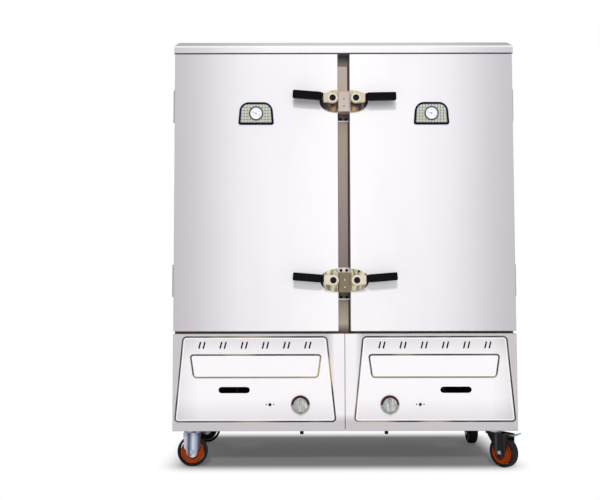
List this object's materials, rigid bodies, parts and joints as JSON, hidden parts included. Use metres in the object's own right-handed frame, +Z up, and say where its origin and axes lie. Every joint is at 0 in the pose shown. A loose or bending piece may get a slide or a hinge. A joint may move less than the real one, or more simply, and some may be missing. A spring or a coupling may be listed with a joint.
{
  "type": "double-door gas rice steamer cabinet",
  "caption": "Tall double-door gas rice steamer cabinet in stainless steel with lever latches, dial thermometers, pressed burner panels, runner racks and casters.",
  "frame": {"origin": "on the floor, at the centre of the cabinet's bounding rectangle", "axes": "+Z up, +X to the right of someone facing the doors, +Y from the doors to the back"},
  "size_m": [1.4434, 0.743, 1.78],
  "materials": {
    "door_steel": "fine brushed, bright",
    "casing_steel": "fine brushed",
    "frame_steel": "dull, warm from reflections",
    "panel_steel": "fine brushed, slightly cool",
    "gilt_zinc": "yellow-passivated zinc, satin",
    "grip_black": "matte black",
    "seal_rubber": "matte silicone",
    "badge_navy": "printed plate under clear lacquer",
    "knob_chrome": "polished",
    "button_black": "matte",
    "brass": "drawn tube",
    "cast_iron": "as cast",
    "zinc_fork": "bright zinc",
    "wheel_rust": "moulded core with a black tread",
    "pedal_steel": "painted steel lever"
  },
  "bodies": {
    "cabinet": {"top_cover": "casing_steel", "back_panel": "casing_steel", "centre_partition": "casing_steel", "base_frame": "casing_steel", "front_frame": "frame_steel", "gas_manifold": "brass", "left_side_panel": "casing_steel", "left_water_tank": "casing_steel", "left_front_panel": "panel_steel", "left_burner": "cast_iron", "left_runner_rack": "casing_steel", "left_upper_hinge_cabinet_leaf": "casing_steel", "left_lower_hinge_cabinet_leaf": "casing_steel", "right_side_panel": "casing_steel", "right_water_tank": "casing_steel", "right_front_panel": "panel_steel", "right_burner": "cast_iron", "right_runner_rack": "casing_steel", "right_upper_hinge_cabinet_leaf": "casing_steel", "right_lower_hinge_cabinet_leaf": "casing_steel", "upper_latch_keeper": "gilt_zinc", "lower_latch_keeper": "gilt_zinc", "front_left_caster_fork": "zinc_fork", "rear_left_caster_fork": "zinc_fork"},
    "left_door": {"left_door_panel": "door_steel", "left_door_gasket": "seal_rubber", "left_thermometer": "badge_navy", "left_upper_hinge_door_leaf": "casing_steel", "left_upper_latch_housing": "gilt_zinc", "left_lower_hinge_door_leaf": "casing_steel", "left_lower_latch_housing": "gilt_zinc"},
    "left_upper_latch": {"left_upper_latch_lever": "gilt_zinc", "left_upper_latch_grip": "grip_black"},
    "left_lower_latch": {"left_lower_latch_lever": "gilt_zinc", "left_lower_latch_grip": "grip_black"},
    "left_knob": {"left_gas_knob": "knob_chrome"},
    "left_button": {"left_igniter_button": "button_black"},
    "left_tray_body": {"left_tray": "door_steel"},
    "right_door": {"right_door_panel": "door_steel", "right_door_gasket": "seal_rubber", "right_thermometer": "badge_navy", "right_upper_hinge_door_leaf": "casing_steel", "right_upper_latch_housing": "gilt_zinc", "right_lower_hinge_door_leaf": "casing_steel", "right_lower_latch_housing": "gilt_zinc"},
    "right_upper_latch": {"right_upper_latch_lever": "gilt_zinc", "right_upper_latch_grip": "grip_black"},
    "right_lower_latch": {"right_lower_latch_lever": "gilt_zinc", "right_lower_latch_grip": "grip_black"},
    "right_knob": {"right_gas_knob": "knob_chrome"},
    "right_button": {"right_igniter_button": "button_black"},
    "right_tray_body": {"right_tray": "door_steel"},
    "front_left_wheel": {"front_left_caster_wheel": "wheel_rust"},
    "rear_left_wheel": {"rear_left_caster_wheel": "wheel_rust"},
    "front_right_fork": {"front_right_caster_fork": "zinc_fork"},
    "front_right_wheel": {"front_right_caster_wheel": "wheel_rust"},
    "front_right_pedal": {"front_right_brake_pedal": "pedal_steel"},
    "rear_right_fork": {"rear_right_caster_fork": "zinc_fork"},
    "rear_right_wheel": {"rear_right_caster_wheel": "wheel_rust"}
  },
  "joints": [
    {"name": "left_door_hinge", "type": "hinge", "parent": "cabinet", "child": "left_door", "pos_m": [-0.716, -0.2685, 0.563], "axis": [0, 0, -1], "range_deg": [0, 175]},
    {"name": "left_upper_latch_turn", "type": "hinge", "parent": "left_door", "child": "left_upper_latch", "pos_m": [-0.0485, -0.3135, 1.5277], "axis": [0, 1, 0], "range_deg": [0, 80]},
    {"name": "left_lower_latch_turn", "type": "hinge", "parent": "left_door", "child": "left_lower_latch", "pos_m": [-0.0485, -0.3135, 0.773], "axis": [0, 1, 0], "range_deg": [0, 80]},
    {"name": "left_knob_turn", "type": "hinge", "parent": "cabinet", "child": "left_knob", "pos_m": [-0.184, -0.3135, 0.262], "axis": [0, -1, 0], "range_deg": [0, 180]},
    {"name": "left_button_press", "type": "slide", "parent": "cabinet", "child": "left_button", "axis": [0, 1, 0], "range_m": [0, 0.003], "stiffness_N_per_m": 300, "springref_m": -0.001},
    {"name": "left_tray_slide", "type": "slide", "parent": "cabinet", "child": "left_tray_body", "axis": [0, -1, 0], "range_m": [0, 0.105]},
    {"name": "right_door_hinge", "type": "hinge", "parent": "cabinet", "child": "right_door", "pos_m": [0.716, -0.2685, 0.563], "axis": [0, 0, 1], "range_deg": [0, 175]},
    {"name": "right_upper_latch_turn", "type": "hinge", "parent": "right_door", "child": "right_upper_latch", "pos_m": [0.0485, -0.3135, 1.5277], "axis": [0, -1, 0], "range_deg": [0, 80]},
    {"name": "right_lower_latch_turn", "type": "hinge", "parent": "right_door", "child": "right_lower_latch", "pos_m": [0.0485, -0.3135, 0.773], "axis": [0, -1, 0], "range_deg": [0, 80]},
    {"name": "right_knob_turn", "type": "hinge", "parent": "cabinet", "child": "right_knob", "pos_m": [0.184, -0.3135, 0.262], "axis": [0, -1, 0], "range_deg": [0, 180]},
    {"name": "right_button_press", "type": "slide", "parent": "cabinet", "child": "right_button", "axis": [0, 1, 0], "range_m": [0, 0.003], "stiffness_N_per_m": 300, "springref_m": -0.001},
    {"name": "right_tray_slide", "type": "slide", "parent": "cabinet", "child": "right_tray_body", "axis": [0, -1, 0], "range_m": [0, 0.105]},
    {"name": "front_left_wheel_spin", "type": "hinge", "parent": "cabinet", "child": "front_left_wheel", "pos_m": [-0.635, -0.2435, 0.0625], "axis": [0, 1, 0], "continuous": true},
    {"name": "rear_left_wheel_spin", "type": "hinge", "parent": "cabinet", "child": "rear_left_wheel", "pos_m": [-0.635, 0.2565, 0.0625], "axis": [0, 1, 0], "continuous": true},
    {"name": "front_right_swivel", "type": "hinge", "parent": "cabinet", "child": "front_right_fork", "pos_m": [0.635, -0.2435, 0.1414], "axis": [0, 0, 1], "continuous": true},
    {"name": "front_right_wheel_spin", "type": "hinge", "parent": "front_right_fork", "child": "front_right_wheel", "pos_m": [0.65907, -0.27544, 0.0625], "axis": [0.7986, 0.6018, 0], "continuous": true},
    {"name": "front_right_brake_press", "type": "hinge", "parent": "front_right_fork", "child": "front_right_pedal", "pos_m": [0.66208, -0.27944, 0.1315], "axis": [0.7986, 0.6018, 0], "range_deg": [0, 8]},
    {"name": "rear_right_swivel", "type": "hinge", "parent": "cabinet", "child": "rear_right_fork", "pos_m": [0.635, 0.2565, 0.1414], "axis": [0, 0, 1], "continuous": true},
    {"name": "rear_right_wheel_spin", "type": "hinge", "parent": "rear_right_fork", "child": "rear_right_wheel", "pos_m": [0.635, 0.2165, 0.0625], "axis": [1, 0, 0], "continuous": true}
  ]
}
